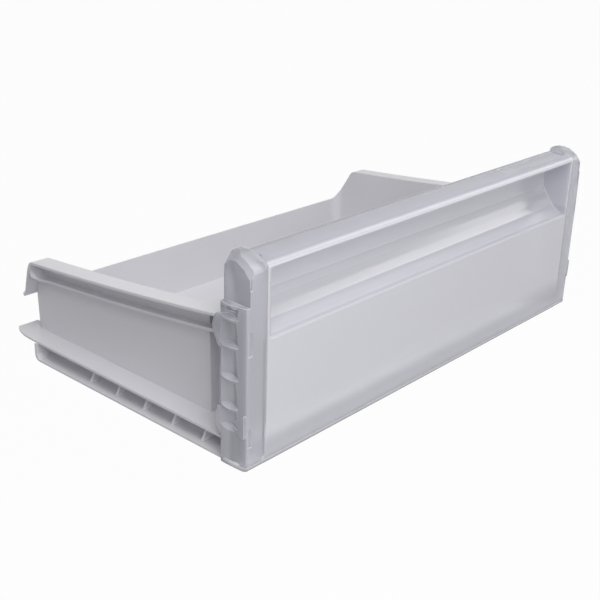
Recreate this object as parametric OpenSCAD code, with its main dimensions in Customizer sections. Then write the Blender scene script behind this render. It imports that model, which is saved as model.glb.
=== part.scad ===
// Freezer drawer: a white moulded tub with a clear moulded front panel.
// Millimetres, Z up, front towards -Y, origin under the middle of the whole drawer.

/* [Overall size] */
// Width of the front panel, the widest part of the drawer
panel_w = 444.8; // [380:0.2:520]
// Depth from the front face to the outer edge of the back rim
total_d = 284; // [240:1:360]
// Height of the flat strip on top of the handle bar
panel_h = 150.9; // [136:0.1:180]

/* [Front panel] */
// Depth of the two end columns
panel_d = 24.4; // [22:0.1:30]
// Width of each end column
column_w = 20.8; // [18:0.1:26]
// How far the column tops stand above the strip
column_rise = 3.4; // [1:0.1:5]
// Thickness of the panel's clear wall
skin = 2.4; // [1.8:0.1:3]
// Height of the lower edge of the finger recess
lip_z = 94; // [80:1:104]
// Height of the rounded front of the handle bar
bar_drop = 7.6; // [5:0.1:12]
// Width of the flat margin between the finger recess and each column
margin_w = 3; // [2:0.1:8]
// How far the scoop of the finger recess reaches behind the front face
scoop_d = 25.7; // [20:0.1:26]
// Depth of the scooped pockets on the column sides
pocket_d = 4.2; // [2.5:0.1:4.6]
// How much the pockets lean out towards their tops
scoop_lean = 5; // [0:0.5:8]
// How far the flat top of the column side lies inside the bead
cheek_in = 5; // [3:0.1:6]
// Length of the bottom return that stiffens the panel
return_d = 22; // [12:0.5:24]

/* [Tub] */
// Thickness of the tub's side, front and back walls
tub_wall = 2.4; // [1.8:0.1:3]
// Thickness of the tub's floor
floor_t = 2.4; // [1.8:0.1:3.5]
// How much each wall leans in between rim height and floor
draft = 1.8; // [0.5:0.1:4]
// Space between the column's rear plane and the tub's front wall
front_gap = 5.6; // [5:0.1:10]
// Height of the side rim where it meets the front panel
rim_front_z = 106.2; // [96:0.1:120]
// Height of the side rim just before it bends down
rim_side_z = 83.5; // [70:0.1:96]
// Height of the back rim
rim_back_z = 46.2; // [36:0.1:60]
// Sag of the long side rim below a straight line
rim_sag = 1.8; // [0:0.1:3]
// Distance from the rear edge to the bend of the side rim
bend_back = 29; // [26:0.5:45]
// Steepness of the falling part of the rim
fall_angle = 59; // [50:1:65]
// Outer radius of the tub's rear corners
corner_r = 12; // [8:0.5:18]

/* [Rim flange] */
// Width of the side flange, wall thickness included
flange_w = 16; // [12:0.5:20]
// Width of the back flange, wall thickness included
back_flange_w = 8.4; // [6:0.2:12]
// Thickness of the flange
flange_t = 2.2; // [1.6:0.1:3]
// Distance of the flange edge from the panel's side
flange_inset = 9; // [6:0.1:12]
// How far the flange's rear corners are cut back across and along
flange_cut = 10; // [8:0.5:18]
flange_cut_len = 27; // [20:1:40]
// Depth of the groove under the side flange
groove_h = 13.3; // [8:0.1:20]
// Width of the rib that closes the groove from below
groove_rib_w = 5.8; // [4:0.1:9]
// Thickness of the groove rib
groove_rib_t = 2.6; // [1.6:0.1:3.2]

/* [Front step of the tub] */
// How far the tub narrows beside the panel
step_in = 8; // [5:0.5:12]
// Distance of the step from the column's rear plane
step_back = 33.1; // [24:0.1:44]
// Radius of the tub's lower front edge behind the clear panel
front_r = 16; // [10:1:22]

/* [Side runners] */
// Height of the top of the sliding ledge
ledge_z = 16.6; // [14:0.1:22]
// Thickness of the ledge
ledge_t = 2.2; // [1.6:0.1:3]
// Distance of the ledge's outer edge from the panel's side
ledge_inset = 5.4; // [4:0.1:8]
// Distance of the lower lip's edge from the panel's side
lip_inset = 3.6; // [2:0.1:7]
// Thickness of the lower lip
lip_t = 1.6; // [1.2:0.1:2.4]
// Distance from the rear edge to the end of the lower channel
channel_back = 35.5; // [30:0.5:60]
// Distance between the gusset ribs
rib_pitch = 32.4; // [24:0.1:44]
// Number of gusset ribs on each side
rib_n = 5; // [3:1:6]
// Thickness of a gusset rib
rib_t = 2.2; // [1.2:0.1:2.8]

/* [Fits] */
// Clearance around the tongues that enter the columns
tongue_gap = 0.4; // [0.2:0.1:0.8]
// Length of the tongues
tongue_len = 12; // [8:0.5:16]

/* [Hidden] */
$fn = 64;
half_w = panel_w / 2;
// Inner face of the end columns and the flat top of their sides
col_x = half_w - column_w;
cheek_x = half_w - cheek_in;
// End of the finger recess; a flat margin lies between it and the column
recess_x = col_x - margin_w;
// Outer end of the hollow inside a column
hollow_x = min(half_w - pocket_d, cheek_x) - skin;
// Outer edge and inner edge of the side flange
flange_x = half_w - flange_inset;
rim_x = flange_x - flange_w;
// Outer face of the tub wall at rim height
wall_x = rim_x + tub_wall;
// Height over which the walls lean
lean_h = rim_front_z;
top_h = rim_front_z + 14;
// Width of the ramp that leads from the strip up to a column top
ramp_w = 3.4;
front_y = panel_d + front_gap;
step_y = panel_d + step_back;
back_y = total_d - back_flange_w + tub_wall;
ledge_x = half_w - ledge_inset;
lip_x = half_w - lip_inset;
channel_y = total_d - channel_back;
bend_y = total_d - bend_back;

// Lean of the walls: half width and back position at a height
function lean(z) = draft * (z / lean_h - 1);

// Height of the long side rim at a distance from the front face
function rim_u(y) = (y - panel_d) / (bend_y - panel_d);
function rim_z(y) = rim_front_z + (rim_side_z - rim_front_z) * rim_u(y)
    - 4 * rim_sag * rim_u(y) * (1 - rim_u(y));

// Points of the rim line with their heading, front to back
rim_n = 12;
bend_r = 6;
foot_r = 8;
h_side = atan((rim_z(bend_y) - rim_z(bend_y - 12)) / 12);
h_fall = -fall_angle;
bend_t = bend_r * tan((h_side - h_fall) / 2);
foot_t = foot_r * tan(-h_fall / 2);
fall_len = (rim_side_z - rim_back_z) / sin(fall_angle);
foot_y = bend_y + fall_len * cos(fall_angle);
bend_p = [bend_y - bend_t * cos(h_side), rim_side_z - bend_t * sin(h_side)];
bend_c = [bend_p[0] + bend_r * sin(h_side), bend_p[1] - bend_r * cos(h_side)];
foot_p = [foot_y - foot_t * cos(h_fall), rim_back_z - foot_t * sin(h_fall)];
foot_c = [foot_p[0] - foot_r * sin(h_fall), foot_p[1] + foot_r * cos(h_fall)];
rim_side = [for (i = [0 : rim_n - 1])
    let (y = panel_d - 14 + (bend_p[0] - panel_d + 14) * i / rim_n)
    [y, rim_z(y), h_side]];
rim_bend = [for (i = [0 : 6])
    let (h = h_side + (h_fall - h_side) * i / 6)
    [bend_c[0] - bend_r * sin(h), bend_c[1] + bend_r * cos(h), h]];
rim_foot = [for (i = [0 : 6])
    let (h = h_fall * (1 - i / 6))
    [foot_c[0] + foot_r * sin(h), foot_c[1] - foot_r * cos(h), h]];
rim_line = concat(rim_side, rim_bend, rim_foot, [[total_d + 6, rim_back_z, 0]]);

// The rim line moved down square to itself
function rim_off(s) = [for (p = rim_line) [p[0] + s * sin(p[2]), p[1] - s * cos(p[2])]];
function turned(v) = [for (i = [len(v) - 1 : -1 : 0]) v[i]];

module to_origin() {
    translate([0, -total_d / 2, 0]) children();
}

// Drawing with Y and Z, drawn out along X
module along_x(x0, x1) {
    translate([x0, 0, 0]) rotate([90, 0, 90]) linear_extrude(x1 - x0) children();
}

// Drawing with X and Z, drawn out along Y
module along_y(y0, y1) {
    translate([0, y1, 0]) rotate([90, 0, 0]) linear_extrude(y1 - y0) children();
}

module both_sides() {
    children();
    mirror([1, 0, 0]) children();
}

// Leaning block with round rear corners; the inset is zero outside, a wall inside
module leaning_block(inset, z0, z1) {
    cx = wall_x - corner_r;
    cy = back_y - corner_r;
    r = corner_r - inset;
    r0 = r + lean(z0);
    r1 = r + lean(z1);
    along_y(step_y + inset, cy)
        polygon([[-cx - r0, z0], [cx + r0, z0], [cx + r1, z1], [-cx - r1, z1]]);
    along_x(-cx, cx)
        polygon([[step_y + inset, z0], [cy + r0, z0], [cy + r1, z1], [step_y + inset, z1]]);
    translate([cx, cy, z0]) cylinder(h = z1 - z0, r1 = r0, r2 = r1);
    translate([-cx, cy, z0]) cylinder(h = z1 - z0, r1 = r0, r2 = r1);
    nx = wall_x - step_in - draft / 2 - inset;
    along_x(-nx, nx) difference() {
        translate([front_y + inset, z0]) square([step_y - front_y + 1, z1 - z0]);
        difference() {
            translate([front_y, 0]) square(front_r);
            translate([front_y + front_r, front_r]) circle(front_r - inset);
        }
    }
}

// Everything under the rim line
module under_rim(drop) {
    along_x(-half_w, half_w)
        polygon(concat([[panel_d - 14, -2]], rim_off(drop), [[total_d + 6, -2]]));
}

// Sheet that follows the rim line, cut to the plan of the flange
module rim_flange() {
    intersection() {
        along_x(-half_w, half_w)
            polygon(concat(rim_off(0), turned(rim_off(flange_t))));
        linear_extrude(top_h) flange_plan();
    }
}

// The flange seen from above: its rear corners are cut back along the fall of the rim
module flange_plan() {
    corner = [[flange_x, total_d - flange_cut_len], [flange_x - 0.3, total_d - flange_cut_len + 2],
        [flange_x - 1, total_d - flange_cut_len + 4.4],
        [flange_x - flange_cut + 0.9, total_d - 2.6], [flange_x - flange_cut + 0.2, total_d - 1],
        [flange_x - flange_cut - 0.9, total_d]];
    polygon(concat([[-flange_x, panel_d], [flange_x, panel_d]], corner,
        [for (p = turned(corner)) [-p[0], p[1]]]));
}

// Rib under the side flange that makes a groove; its rear end sweeps up and out to close it
module groove_rib() {
    y1 = bend_y - 6;
    n = 7;
    drop = flange_t + groove_h;
    z1 = rim_z(y1) - drop;
    side = [for (i = [0 : n]) let (y = panel_d + (y1 - panel_d) * i / n) [y, rim_z(y) - drop, -5]];
    sweep = [for (i = [1 : 6]) let (a = 15 * i)
        [y1 + 8 * sin(a), z1 - 0.3 + 8 * (1 - cos(a)), a * 0.94]];
    path = concat(side, sweep, [[y1 + 8.4, rim_z(y1) - 1, 86]]);
    low = [for (p = turned(path))
        [p[0] + groove_rib_t * sin(p[2]), p[1] - groove_rib_t * cos(p[2])]];
    intersection() {
        along_x(wall_x - step_in - 1, flange_x) polygon(concat([for (p = path) [p[0], p[1]]], low));
        under_rim(0.4);
        linear_extrude(top_h) polygon([
            [wall_x - step_in - 1, panel_d], [wall_x + groove_rib_w, panel_d],
            [wall_x + groove_rib_w, y1 - 10], [wall_x + groove_rib_w + 0.6, y1 - 3],
            [wall_x + groove_rib_w + 1.6, y1 + 2], [wall_x + groove_rib_w + 3.4, y1 + 5.6],
            [flange_x - 1.4, y1 + 8], [flange_x - 1.4, y1 + 14], [wall_x - step_in - 1, y1 + 14]]);
    }
}

// Sliding ledge; its rear tip is a lead-in, rounded in plan and thinner from below
module ledge() {
    y1 = total_d;
    intersection() {
        along_x(wall_x - step_in - 2, ledge_x) polygon([
            [panel_d, ledge_z - ledge_t], [y1 - 56, ledge_z - ledge_t],
            [y1, ledge_z - ledge_t / 2], [y1, ledge_z], [panel_d, ledge_z]]);
        linear_extrude(ledge_z + 1) polygon([
            [wall_x - step_in - 3, panel_d - 1], [ledge_x + 1, panel_d - 1],
            [ledge_x + 1, y1 - 25], [ledge_x, y1 - 24], [ledge_x - 0.6, y1 - 17],
            [ledge_x - 2.2, y1 - 10], [ledge_x - 4.4, y1 - 4.4], [ledge_x - 7, y1],
            [wall_x - 9, y1], [wall_x - 9, back_y - 3], [wall_x - step_in - 3, back_y - 3]]);
    }
}

// Lower channel: a lip that sweeps out from the wall and closes at the rear
module runner_lip() {
    x0 = wall_x - draft - 1;
    along_x(wall_x - step_in - 2, lip_x) polygon([
        [panel_d, 0], [channel_y - 5, 0], [channel_y - 2, 1], [channel_y - 0.6, 2.8],
        [channel_y, 5.5], [channel_y, ledge_z - ledge_t + 0.5],
        [channel_y - 1.8, ledge_z - ledge_t + 0.5], [channel_y - 1.8, 6],
        [channel_y - 2.6, 3.8], [channel_y - 5, lip_t], [panel_d, lip_t]]);
    along_y(step_y, channel_y - 2) polygon([
        [x0, lip_t - 0.4], [x0 + 14, lip_t - 0.4], [x0 + 9.4, lip_t + 0.7],
        [x0 + 5.6, lip_t + 2.4], [x0 + 3, lip_t + 5], [x0 + 1.6, lip_t + 8.4], [x0, lip_t + 8.4]]);
}

module gusset(y) {
    x0 = wall_x - step_in - 1;
    top = ledge_z - ledge_t + 0.3;
    along_y(y - rib_t / 2, y + rib_t / 2) polygon([
        [x0, lip_t - 0.3], [lip_x - 4.6, lip_t - 0.3], [lip_x - 6.4, 4.6],
        [lip_x - 8.8, 9], [lip_x - 11.2, top], [x0, top]]);
}

// Tongue on the end of the flange that enters the hollow column
module tongue() {
    x0 = col_x + skin + tongue_gap;
    x1 = hollow_x - tongue_gap;
    z1 = rim_z(panel_d) - 0.6;
    translate([x0, panel_d - tongue_len, z1 - 4.4])
        cube([x1 - x0, tongue_len + 6, 4.4]);
}

module tub() {
    color("white") to_origin() {
        difference() {
            union() {
                intersection() {
                    leaning_block(0, 0, top_h);
                    under_rim(0);
                }
                rim_flange();
                both_sides() {
                    groove_rib();
                    ledge();
                    runner_lip();
                    tongue();
                    for (i = [0 : rib_n - 1]) gusset(step_y - 6.5 + i * rib_pitch);
                }
            }
            leaning_block(tub_wall, floor_t, top_h + 1);
        }
    }
}

// Section of the panel between the columns, with Y and Z
module panel_section() {
    b = panel_h - bar_drop;
    k = scoop_d / 25.7;
    m = (panel_h - 34.5 - lip_z) / 22.4;
    polygon([
        [0.5, 0], [0, 0.6], [0, lip_z - 1.4], [0.5, lip_z - 0.4],
        [1.6, lip_z], [4.2 * k, lip_z + 0.4 * m], [8 * k, lip_z + 2.6 * m],
        [13.6 * k, lip_z + 6.2 * m], [18.6 * k, lip_z + 11.4 * m],
        [22.2 * k, lip_z + 16.8 * m], [25 * k, lip_z + 22.4 * m],
        [scoop_d, lip_z + 25.6 * m], [scoop_d, panel_h - 14], [scoop_d - 1.4, panel_h - 8],
        [scoop_d - 4.4, panel_h - 4], [scoop_d - 8, panel_h - 2.9],
        [8.2, b + 3.3], [4.6, b + 2], [2.6, b + 0.4], [1.4, b - 0.5], [0.4, b - 0.2],
        [0, b + 0.7], [0.2, b + 2.2], [1.4, b + 3.9], [3.8, b + 5.2], [7, b + 5.9],
        [panel_d - 2.8, panel_h], [panel_d - 1.6, panel_h - 0.5],
        [scoop_d + 0.8, panel_h - 6.2], [scoop_d + skin - 0.2, panel_h - 13],
        [scoop_d + skin - 0.2, lip_z + 24.8 * m], [25 * k + 2, lip_z + 21.2 * m],
        [22.2 * k + 2, lip_z + 15.4 * m], [18.6 * k + 2, lip_z + 9.8 * m],
        [13.6 * k + 1.6, lip_z + 4.2 * m], [8 * k + 1.4, lip_z + 0.4 * m],
        [4.2 * k + 1, lip_z - 2.2], [skin, lip_z - 3], [skin, skin],
        [return_d, skin], [return_d, 0]]);
}

// Filled outline of the recess, used for its end walls
module recess_section() {
    b = panel_h - bar_drop;
    k = scoop_d / 25.7;
    m = (panel_h - 34.5 - lip_z) / 22.4;
    polygon([
        [0.2, lip_z - 3], [0.2, b + 2.2], [1.4, b + 3.9], [3.8, b + 5.2], [7, b + 5.9],
        [panel_d - 2.8, panel_h], [panel_d - 1.6, panel_h - 0.5],
        [scoop_d + 0.8, panel_h - 6.2], [scoop_d + skin - 0.2, panel_h - 13],
        [scoop_d + skin - 0.2, lip_z + 24.8 * m], [25 * k + 2, lip_z + 21.2 * m],
        [22.2 * k + 2, lip_z + 15.4 * m], [18.6 * k + 2, lip_z + 9.8 * m],
        [13.6 * k + 1.6, lip_z + 4.2 * m], [8 * k + 1.4, lip_z + 0.4 * m],
        [4.2 * k + 1, lip_z - 2.2], [skin, lip_z - 3]]);
}

// Outline of a column seen from above, with the convex bead at its side
module column_plan() {
    polygon([
        [col_x, 0], [half_w - 5, 0], [half_w - 3.6, 0.3], [half_w - 2.5, 1],
        [half_w - 1.7, 2.2], [half_w - 1.3, 4], [half_w - 1.1, 7], [half_w - 0.5, 9.4],
        [half_w - 0.1, 12.4], [half_w, 15.4], [half_w - 0.1, 18], [half_w - 0.4, 20.8],
        [half_w - 1, 23.2], [half_w - 1.6, panel_d], [col_x, panel_d]]);
}

// Outline of a column seen from the side, with its arched top
module column_side() {
    t = panel_h + column_rise;
    polygon([
        [0.7, 0], [0, 1], [0, t - 11.4], [0.9, t - 9.6], [2.4, t - 8], [4.4, t - 6.4],
        [7, t - 4.7], [10, t - 3.1], [13.4, t - 1.6], [16.4, t - 0.5], [19, t],
        [21.4, t - 0.2], [panel_d - 1.2, t - 1.1], [panel_d, t - 2.6], [panel_d, 0.4],
        [panel_d - 0.4, 0]]);
}

// Outline of a column seen from the front, with its ramp and round shoulder
module column_front() {
    t = panel_h + column_rise;
    polygon([
        [col_x - ramp_w, 0], [half_w - 1.2, 0], [half_w - 0.3, 0.5], [half_w, 1.6],
        [half_w, t - 17], [half_w - 0.2, t - 14.4], [half_w - 0.8, t - 11.6],
        [half_w - 2.4, t - 8.2], [half_w - 4.6, t - 5.2], [half_w - 7.4, t - 2.7],
        [half_w - 10.6, t - 0.8], [half_w - 14, t], [col_x + 3.4, t - 0.2],
        [col_x, t - 1.2], [col_x - ramp_w, panel_h]]);
}

// Floor heights of the side pockets, top to bottom; above the first one the side is flat
pocket_z = [120.4, 111.2, 91.2, 67.6, 45.8, 29.6];
// Heights and depths on the column side follow the size of the panel
function pz(z) = z * panel_h / 150.9;
function py(y) = y * panel_d / 24.4;
// Arch of the flat top of the column side: depth and height of its corners
arch = [[py(1.3), pz(139.7)], [py(5.9), pz(145.1)], [py(13.2), pz(149.3)],
    [py(18.7), pz(149.3)], [py(24.4), pz(144.5)]];

// Flat top of the column side, with a sloping frame along its arch
module cheek() {
    translate([cheek_x, -1, pz(pocket_z[0])]) cube([cheek_in + 1, panel_d + 2, panel_h]);
    for (i = [0 : len(arch) - 2]) {
        v = arch[i + 1] - arch[i];
        translate([0, arch[i][0], arch[i][1]]) rotate([atan2(v[1], v[0]), 0, 0])
            along_y(-20, norm(v) + 20)
            polygon([[cheek_x + 3, -2.8], [cheek_x + 3, 12], [cheek_x - 9, 12], [cheek_x - 9, 8.4]]);
    }
}

// Scooped pocket: a round hollow that leans out towards its top, on a floor that slopes outwards
module pocket(z0, z1) {
    r = py(15);
    intersection() {
        translate([half_w - pocket_d, py(16.2), z0]) rotate([0, scoop_lean, 0])
            translate([r, 0, -4]) cylinder(r = r, h = z1 - z0 + 8);
        along_y(0, panel_d + 1) polygon([
            [half_w - pocket_d - 2, z0 + 2.6], [half_w + 1, z0 - 1.8], [half_w + 1, z1 - 2.6],
            [half_w - pocket_d - 2, z1 - 0.4]]);
    }
}

// Ear on the rear edge of the column side
module ear(z0, zp, z1, reach) {
    k = reach / 7.9;
    along_x(half_w - 3.4, half_w - 1.4) polygon([
        [panel_d - 1, z0 - 1.6], [panel_d + 2.6 * k, z0], [panel_d + reach - 0.8, zp - 3.4],
        [panel_d + reach, zp], [panel_d + reach - 1, zp + 3], [panel_d + 4.4 * k, z1],
        [panel_d - 1, z1 + 1.4]]);
}

// Small slanted slot behind the shoulder, for the latch
module latch_slot() {
    translate([half_w - 6, py(7.2), pz(31.2)]) rotate([28, 0, 0]) cube([7, py(5.6), pz(2.2)]);
}

module column_hollow() {
    translate([col_x + skin, skin, skin])
        cube([hollow_x - col_x - skin, panel_d, panel_h - 12 - skin]);
    translate([recess_x + skin, skin, lip_z + 2])
        cube([margin_w + 1, panel_d, panel_h - 14 - lip_z]);
    translate([hollow_x - 1, skin, skin])
        cube([half_w - skin - hollow_x, py(7) - skin - 0.6, pz(pocket_z[0]) - 2 * skin]);
}

module column() {
    difference() {
        union() {
            intersection() {
                linear_extrude(panel_h + column_rise + 1) column_plan();
                along_x(col_x - 1, half_w + 1) column_side();
                along_y(-1, panel_d + 1) column_front();
            }
            intersection() {
                translate([col_x - ramp_w, 9, panel_h - 2])
                    cube([ramp_w + 1, panel_d - 10.6, column_rise + 2]);
                along_x(col_x - ramp_w, half_w) column_side();
                along_y(-1, panel_d + 1) column_front();
            }
            along_x(recess_x, col_x + skin) recess_section();
            ear(pz(87.6), pz(101.5), pz(110.3), py(7.9));
            ear(pz(22.8), pz(32), pz(42), py(5.9));
        }
        column_hollow();
        cheek();
        for (i = [1 : 5]) pocket(pz(pocket_z[i]), pz(pocket_z[i - 1]));
        // Slot window between the two upper pocket floors
        translate([half_w - 9, py(8.8), pz(114.4)]) cube([10, py(12), pz(4.6)]);
        // Shallow sunk marks on the rounded front edge
        for (s = [[132, 8], [86, 17], [18, 14]])
            translate([half_w - 7, -1, pz(s[0])]) cube([3.2, 1.6, pz(s[1])]);
        latch_slot();
    }
    // Shoulder where the foot of the column starts
    difference() {
        along_x(half_w - 4.5, half_w) polygon([
            [1.2, pz(43.2)], [py(8.8), pz(37.6)], [py(9.4), pz(36.2)], [py(9.4), pz(30)],
            [py(8), pz(28.4)], [1.2, pz(26)], [0.9, pz(30)], [0.9, pz(42)]]);
        latch_slot();
    }
}

module front_panel() {
    color("lavender") to_origin() {
        along_x(-col_x - 0.5, col_x + 0.5) panel_section();
        both_sides() column();
    }
}

tub();
front_panel();
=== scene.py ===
import math
import bpy
from mathutils import Matrix, Vector

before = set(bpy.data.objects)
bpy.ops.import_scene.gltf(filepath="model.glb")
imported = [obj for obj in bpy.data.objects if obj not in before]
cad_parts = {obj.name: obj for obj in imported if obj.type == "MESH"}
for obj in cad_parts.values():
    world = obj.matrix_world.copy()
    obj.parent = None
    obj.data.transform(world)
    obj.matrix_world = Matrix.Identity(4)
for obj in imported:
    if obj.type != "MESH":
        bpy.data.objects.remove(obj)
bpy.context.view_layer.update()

scene = bpy.context.scene
scene.view_settings.view_transform = "Standard"
mixA, mixB, mixResult = 6, 7, 2  # the colour sockets of a Mix node
print("freezer drawer: frame loaded")


def linear(hexColour):  # sRGB hex to the linear values that shaders use
    out = []
    for i in (0, 2, 4):
        c = int(hexColour[i:i + 2], 16) / 255
        out.append(c / 12.92 if c <= 0.04045 else ((c + 0.055) / 1.055) ** 2.4)
    return (*out, 1.0)


def addNode(tree, kind, settings):  # a node with its values; a value that is a socket is linked
    node = tree.nodes.new(kind)
    for name, value in settings.items():
        if isinstance(value, bpy.types.NodeSocket):
            tree.links.new(value, node.inputs[name])
        elif isinstance(name, str) and hasattr(node, name):
            setattr(node, name, value)
        else:
            node.inputs[name].default_value = value
    return node


def newMaterial(name):
    material = bpy.data.materials.new(name)
    material.use_nodes = True
    material.node_tree.nodes.clear()
    return material, material.node_tree


def dress(node, material):  # gives a carried-over CAD node its finish
    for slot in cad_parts[node].material_slots:
        slot.material = material


# White tub
tub = {
    "hex": "e2e2e6",              # cool white of moulded polystyrene
    "hexWarm": "dddce1",          # where the melt flowed slower
    "ior": 1.59,
    "roughness": (0.37, 0.48),    # least and most, as the melt flowed
    "flowMm": 90.0,               # size of that soft unevenness
    "flowDetail": 2.0,
    "grainMm": 0.9,               # fine spark grain of the mould, drawn as coarse as it shows
    "grainDetail": 1.0,
    "grainHeightMm": 0.02,
    "grainStrength": 0.25,
    "edgeMm": 0.7,                # rounded moulded edges
    "edgeSamples": 4,
}


def whitePolystyrene():  # high-impact polystyrene from a grained mould: satin, a little uneven
    material, tree = newMaterial("mouldedWhitePolystyrene")
    place = addNode(tree, "ShaderNodeTexCoord", {}).outputs["Object"]
    flow, grain = (
        addNode(tree, "ShaderNodeTexNoise",
                {"Vector": place, "Scale": 1000 / tub[name + "Mm"],
                 "Detail": tub[name + "Detail"]}).outputs["Fac"]
        for name in ("flow", "grain"))
    colour = addNode(tree, "ShaderNodeMix",
                     {"data_type": "RGBA", "Factor": flow,
                      mixA: linear(tub["hex"]), mixB: linear(tub["hexWarm"])})
    low, high = tub["roughness"]
    gloss = addNode(tree, "ShaderNodeMapRange", {"Value": flow, "To Min": low, "To Max": high})
    edge = addNode(tree, "ShaderNodeBevel",
                   {"samples": tub["edgeSamples"], "Radius": tub["edgeMm"] / 1000})
    bump = addNode(tree, "ShaderNodeBump",
                   {"Strength": tub["grainStrength"], "Distance": tub["grainHeightMm"] / 1000,
                    "Height": grain, "Normal": edge.outputs["Normal"]})
    shader = addNode(tree, "ShaderNodeBsdfPrincipled",
                     {"Base Color": colour.outputs[mixResult], "Roughness": gloss.outputs["Result"],
                      "IOR": tub["ior"], "Normal": bump.outputs["Normal"]})
    addNode(tree, "ShaderNodeOutputMaterial", {"Surface": shader.outputs["BSDF"]})
    return material


dress("tub", whitePolystyrene())
print("tub dressed")

# Clear front
panel = {
    "hex": "f1f1f8",              # faint cool tint of the clear moulding
    "hexPaintedShade": "d5d5de",          # painted shade on the strip on top, the column sides and the end walls of the finger recess
    "hexEdgeHighlight": "fcfcff",          # painted highlight along sharp edges
    "hexSideShade": "d2d2db",         # painted shade on the flat outer sides of the columns
    "hexSoleShade": "88888f",          # painted shade: thin dark line along the bottom edge
    "ior": 1.59,
    "roughness": (0.14, 0.21),    # polished mould, least and most
    "flowMm": 70.0,
    "flowDetail": 2.0,
    "edgeMm": 0.7,                # rounded moulded edges
    "softMm": 3.6,                # the recess and the bar bend in wide soft curves
    "edgeHighlightMm": 0.6,            # width of the painted highlight lines
    "edgeSamples": 8,
    # how much light passes, from 0 for milky to 1 for clear
    "clearColumns": 0.62,         # the polished columns and the strip on top
    "clearPockets": 0.35,         # the cheeks round the pockets
    "clearWindow": 0.22,          # the window, blasted on the back
    "clearGrip": 0.08,            # the handle bar and the back of the finger recess
    "clearScoop": 0.36,           # the lower half of the finger recess
    "clearEdge": 0.1,             # the painted highlight lines along sharp edges
    # pairs: where the mask is 0 and where it is 1
    "edgeHighlight": (0.6, 0.3),       # painted highlight lines, outside and inside the window's width
    "footPaintedShade": (0.08, 0.0),      # painted shade, below the window and in it
    "stripPaintedShade": (0.3, 1.0),      # painted shade on the top, over the columns and between them
    "specular": (0.5, 0.0),       # no glint on the bottom edge
    # where each mask starts and where it is full, from the drawer's origin
    "insideMm": (201.5, 200.9),   # to the sides: between the columns
    "cheekMm": (-131.0, -125.0),  # to the back: behind the rounded front of the columns
    "aboveMm": (12.0, 34.0),      # heights: the window begins
    "underMm": (148.5, 146.5),    # the window ends
    "roofMm": (146.5, 148.5),     # the strip on top
    "gripMm": (99.0, 103.0),      # the finger recess and the bar
    "highMm": (70.0, 100.0),      # the cheeks above the pockets
    "soleMm": (5.2, 0.6),         # the bottom edge, next to the floor: painted shade and no glint there
    "liftedMm": (2.0, 8.0),       # painted highlight lines only from here up
    # the same for how far a face looks up or to the side, and how little an edge bends it
    "upward": (0.15, 0.6),
    "ends": (0.5, 0.8),           # to the side: painted shade on the end walls of the finger recess
    "flat": (0.88, 0.97),         # flat sides of the columns, where their painted shade goes
    "edged": (0.99, 0.86),
}


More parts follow.
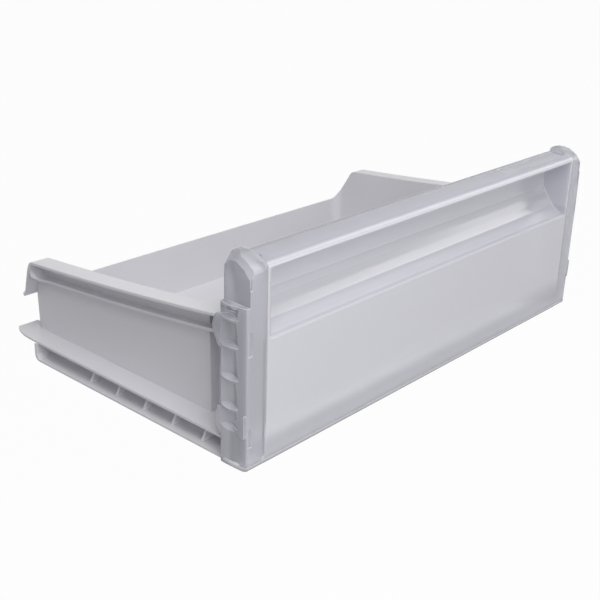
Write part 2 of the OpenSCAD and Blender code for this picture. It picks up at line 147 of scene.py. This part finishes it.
def clearPolystyrene():  # general-purpose polystyrene: clear, but milky from a fine blast finish
    material, tree = newMaterial("mouldedClearPolystyrene")
    coordinates = addNode(tree, "ShaderNodeTexCoord", {})
    place = coordinates.outputs["Object"]
    axes = addNode(tree, "ShaderNodeSeparateXYZ", {"Vector": place})
    facing = addNode(tree, "ShaderNodeSeparateXYZ", {"Vector": coordinates.outputs["Normal"]})
    aside, sideways = (
        addNode(tree, "ShaderNodeMath", {"operation": "ABSOLUTE", 0: node.outputs["X"]}).outputs[0]
        for node in (axes, facing))
    height = axes.outputs["Z"]

    # How little the shading of a fine rounded edge bends the face; where it bends, a painted
    # highlight line goes
    line = addNode(tree, "ShaderNodeBevel",
                   {"samples": panel["edgeSamples"], "Radius": panel["edgeHighlightMm"] / 1000})
    bare = addNode(tree, "ShaderNodeNewGeometry", {})
    likeness = addNode(tree, "ShaderNodeVectorMath",
                       {"operation": "DOT_PRODUCT", 0: line.outputs["Normal"],
                        1: bare.outputs["Normal"]}).outputs["Value"]

    level = {}  # what each mask or look is at a point
    measured = {
        "insideMm": aside, "cheekMm": axes.outputs["Y"], "aboveMm": height, "underMm": height,
        "roofMm": height, "gripMm": height, "highMm": height, "soleMm": height,
        "liftedMm": height, "upward": facing.outputs["Z"], "ends": sideways, "flat": sideways,
        "edged": likeness,
    }
    for name, value in measured.items():
        start, end = (v / 1000 if name.endswith("Mm") else v for v in panel[name])
        level[name.removesuffix("Mm")] = addNode(
            tree, "ShaderNodeMapRange",
            {"interpolation_type": "SMOOTHSTEP", "Value": value,
             "From Min": start, "From Max": end}).outputs["Result"]

    # Each row has its name and two values, with either the sum that joins them
    # or the mask along which the first turns into the second
    for name, operation, *values in (
            ("between", "MULTIPLY", "inside", "above"),
            ("window", "MULTIPLY", "between", "under"),
            ("outer", "SUBTRACT", "cheek", "inside"),
            # painted shade on the flat sides of the columns
            ("smooth", "MULTIPLY", "flat", "high"),
            ("paintedSideShade", "MULTIPLY", "outer", "smooth"),
            # painted shade: the strip on top, below the window, the column sides and the end walls
            # of the recess
            ("strip", "inside", *panel["stripPaintedShade"]),
            ("crown", "MULTIPLY", "roof", "strip"),
            ("foot", "above", *panel["footPaintedShade"]),
            ("rims", "MAXIMUM", "crown", "foot"),
            ("walls", "MAXIMUM", "outer", "ends"),
            ("paintedShade", "MAXIMUM", "rims", "walls"),
            # painted highlight lines along sharp edges
            ("lineHere", "inside", *panel["edgeHighlight"]),
            ("strongest", "MULTIPLY", "lifted", "lineHere"),
            ("paintedHighlight", "MULTIPLY", "edged", "strongest"),
            ("bar", "grip", panel["clearWindow"], panel["clearGrip"]),
            ("glass", "upward", "bar", panel["clearScoop"]),
            ("cheeks", "high", panel["clearPockets"], panel["clearColumns"]),
            ("columns", "outer", panel["clearColumns"], "cheeks"),
            ("clear", "window", "columns", "glass"),
            ("passed", "paintedHighlight", "clear", panel["clearEdge"]),
            ("specular", "sole", *panel["specular"]),
            ("soft", "MULTIPLY", "inside", "grip"),
            ("bend", "soft", panel["edgeMm"] / 1000, panel["softMm"] / 1000)):
        first, second = (level.get(v, v) for v in values)
        if operation in level:
            node = addNode(tree, "ShaderNodeMapRange",
                           {"Value": level[operation], "To Min": first, "To Max": second})
        else:
            node = addNode(tree, "ShaderNodeMath", {"operation": operation, 0: first, 1: second})
        level[name] = node.outputs[0]

    # Colour: painted shade, painted side shade, painted highlight lines and the painted dark bottom
    # line, each zone over the one before
    colour = linear(panel["hex"])
    for zone, tint in (("paintedShade", "hexPaintedShade"), ("paintedSideShade", "hexSideShade"), ("paintedHighlight", "hexEdgeHighlight"),
                       ("sole", "hexSoleShade")):
        colour = addNode(tree, "ShaderNodeMix",
                         {"data_type": "RGBA", "Factor": level[zone], mixA: colour,
                          mixB: linear(panel[tint])}).outputs[mixResult]

    flow = addNode(tree, "ShaderNodeTexNoise",
                   {"Vector": place, "Scale": 1000 / panel["flowMm"],
                    "Detail": panel["flowDetail"]})
    low, high = panel["roughness"]
    gloss = addNode(tree, "ShaderNodeMapRange",
                    {"Value": flow.outputs["Fac"], "To Min": low, "To Max": high})
    edge = addNode(tree, "ShaderNodeBevel",
                   {"samples": panel["edgeSamples"], "Radius": level["bend"]})
    shader = addNode(tree, "ShaderNodeBsdfPrincipled",
                     {"Base Color": colour, "Roughness": gloss.outputs["Result"],
                      "IOR": panel["ior"], "Specular IOR Level": level["specular"],
                      "Transmission Weight": level["passed"], "Normal": edge.outputs["Normal"]})
    addNode(tree, "ShaderNodeOutputMaterial", {"Surface": shader.outputs["BSDF"]})
    return material


dress("front_panel", clearPolystyrene())
print("front panel dressed")

# Studio
studio = {
    "floorSize": 30.0,
    "floorHex": "aaaaad",     # paper as it lights the drawer from below
    "backdropPart": 0.97,     # how much of the floor's look is plain white
    "worldLight": 0.27,       # soft light from all round
    "aim": (0, 0, 0.05),      # the point that all lamps face
    "keyPower": 25.5,         # upper left, over the ledge
    "keySize": (1.6, 1.6),
    "keyPlace": (-0.62, -0.88, 2.1),
    "streakPower": 5.0,       # upper right, gives the streak along the finger recess
    "streakSize": (0.65, 1.15),
    "streakPlace": (1.55, -0.73, 1.12),
    "frontPower": 2.6,        # near and to the left, so that the front grows darker to the right
    "frontSize": (0.5, 0.5),
    "frontPlace": (-0.49, -0.72, 0.50),
}


def whiteForCamera(tree):  # 1 where the eye, a reflection or clear plastic sees the backdrop
    rays = addNode(tree, "ShaderNodeLightPath", {}).outputs
    seen = rays["Is Camera Ray"]
    for kind in ("Is Glossy Ray", "Is Transmission Ray"):
        seen = addNode(tree, "ShaderNodeMath",
                       {"operation": "MAXIMUM", 0: seen, 1: rays[kind]}).outputs[0]
    return seen


def buildFloor():
    half = studio["floorSize"] / 2
    mesh = bpy.data.meshes.new("studioFloor")
    corners = [(-half, -half, 0), (half, -half, 0), (half, half, 0), (-half, half, 0)]
    mesh.from_pydata(corners, [], [(0, 1, 2, 3)])
    floor = bpy.data.objects.new("studioFloor", mesh)
    scene.collection.objects.link(floor)
    material, tree = newMaterial("studioPaper")
    share = addNode(tree, "ShaderNodeMath",
                    {"operation": "MULTIPLY", 0: whiteForCamera(tree), 1: studio["backdropPart"]})
    paper = addNode(tree, "ShaderNodeBsdfDiffuse", {"Color": linear(studio["floorHex"])})
    white = addNode(tree, "ShaderNodeEmission", {"Color": (1, 1, 1, 1), "Strength": 1.0})
    mix = addNode(tree, "ShaderNodeMixShader",
                  {0: share.outputs[0], 1: paper.outputs[0], 2: white.outputs[0]})
    addNode(tree, "ShaderNodeOutputMaterial", {"Surface": mix.outputs[0]})
    mesh.materials.append(material)


def buildWorld():
    world = bpy.data.worlds.new("studioWorld")
    world.use_nodes = True
    scene.world = world
    tree = world.node_tree
    tree.nodes.clear()
    strength = addNode(tree, "ShaderNodeMapRange",
                       {"Value": whiteForCamera(tree), "To Min": studio["worldLight"],
                        "To Max": 1.0})
    back = addNode(tree, "ShaderNodeBackground",
                   {"Color": (1, 1, 1, 1), "Strength": strength.outputs["Result"]})
    addNode(tree, "ShaderNodeOutputWorld", {"Surface": back.outputs[0]})


def buildLamp(name):
    place = Vector(studio[name + "Place"])
    lamp = bpy.data.lights.new(name + "Lamp", "AREA")
    lamp.shape = "RECTANGLE"
    lamp.size, lamp.size_y = studio[name + "Size"]
    lamp.energy = studio[name + "Power"]
    thing = bpy.data.objects.new(name + "Lamp", lamp)
    scene.collection.objects.link(thing)
    thing.location = place
    thing.rotation_euler = (Vector(studio["aim"]) - place).to_track_quat("-Z", "Y").to_euler()


buildFloor()
buildWorld()
for lampName in ("key", "streak", "front"):
    buildLamp(lampName)
print("studio built")

# Camera at the photograph's viewing angle
view = {
    "place": (-0.64658, -0.56316, 0.37391),
    "yaw": 48.55,             # from +Y towards +X, in degrees
    "pitch": 22.32,           # looking down
    "roll": 1.71,
    "lensMm": 61.175,
    "sensorMm": 36.0,
    "shift": (-0.00063, 0.00072),  # parts of the picture's width
}


def buildCamera():
    yaw, pitch, roll = (math.radians(view[k]) for k in ("yaw", "pitch", "roll"))
    ahead = Vector((math.sin(yaw) * math.cos(pitch), math.cos(yaw) * math.cos(pitch),
                    -math.sin(pitch)))
    level = Vector((math.cos(yaw), -math.sin(yaw), 0))
    upright = level.cross(ahead)
    right = math.cos(roll) * level + math.sin(roll) * upright
    up = -math.sin(roll) * level + math.cos(roll) * upright
    data = bpy.data.cameras.new("photoCamera")
    data.lens = view["lensMm"]
    data.sensor_width = view["sensorMm"]
    data.shift_x, data.shift_y = view["shift"]
    camera = bpy.data.objects.new("photoCamera", data)
    scene.collection.objects.link(camera)
    turn = Matrix((right, up, -ahead)).transposed().to_4x4()
    camera.matrix_world = Matrix.Translation(view["place"]) @ turn
    scene.camera = camera


buildCamera()
print("camera placed")
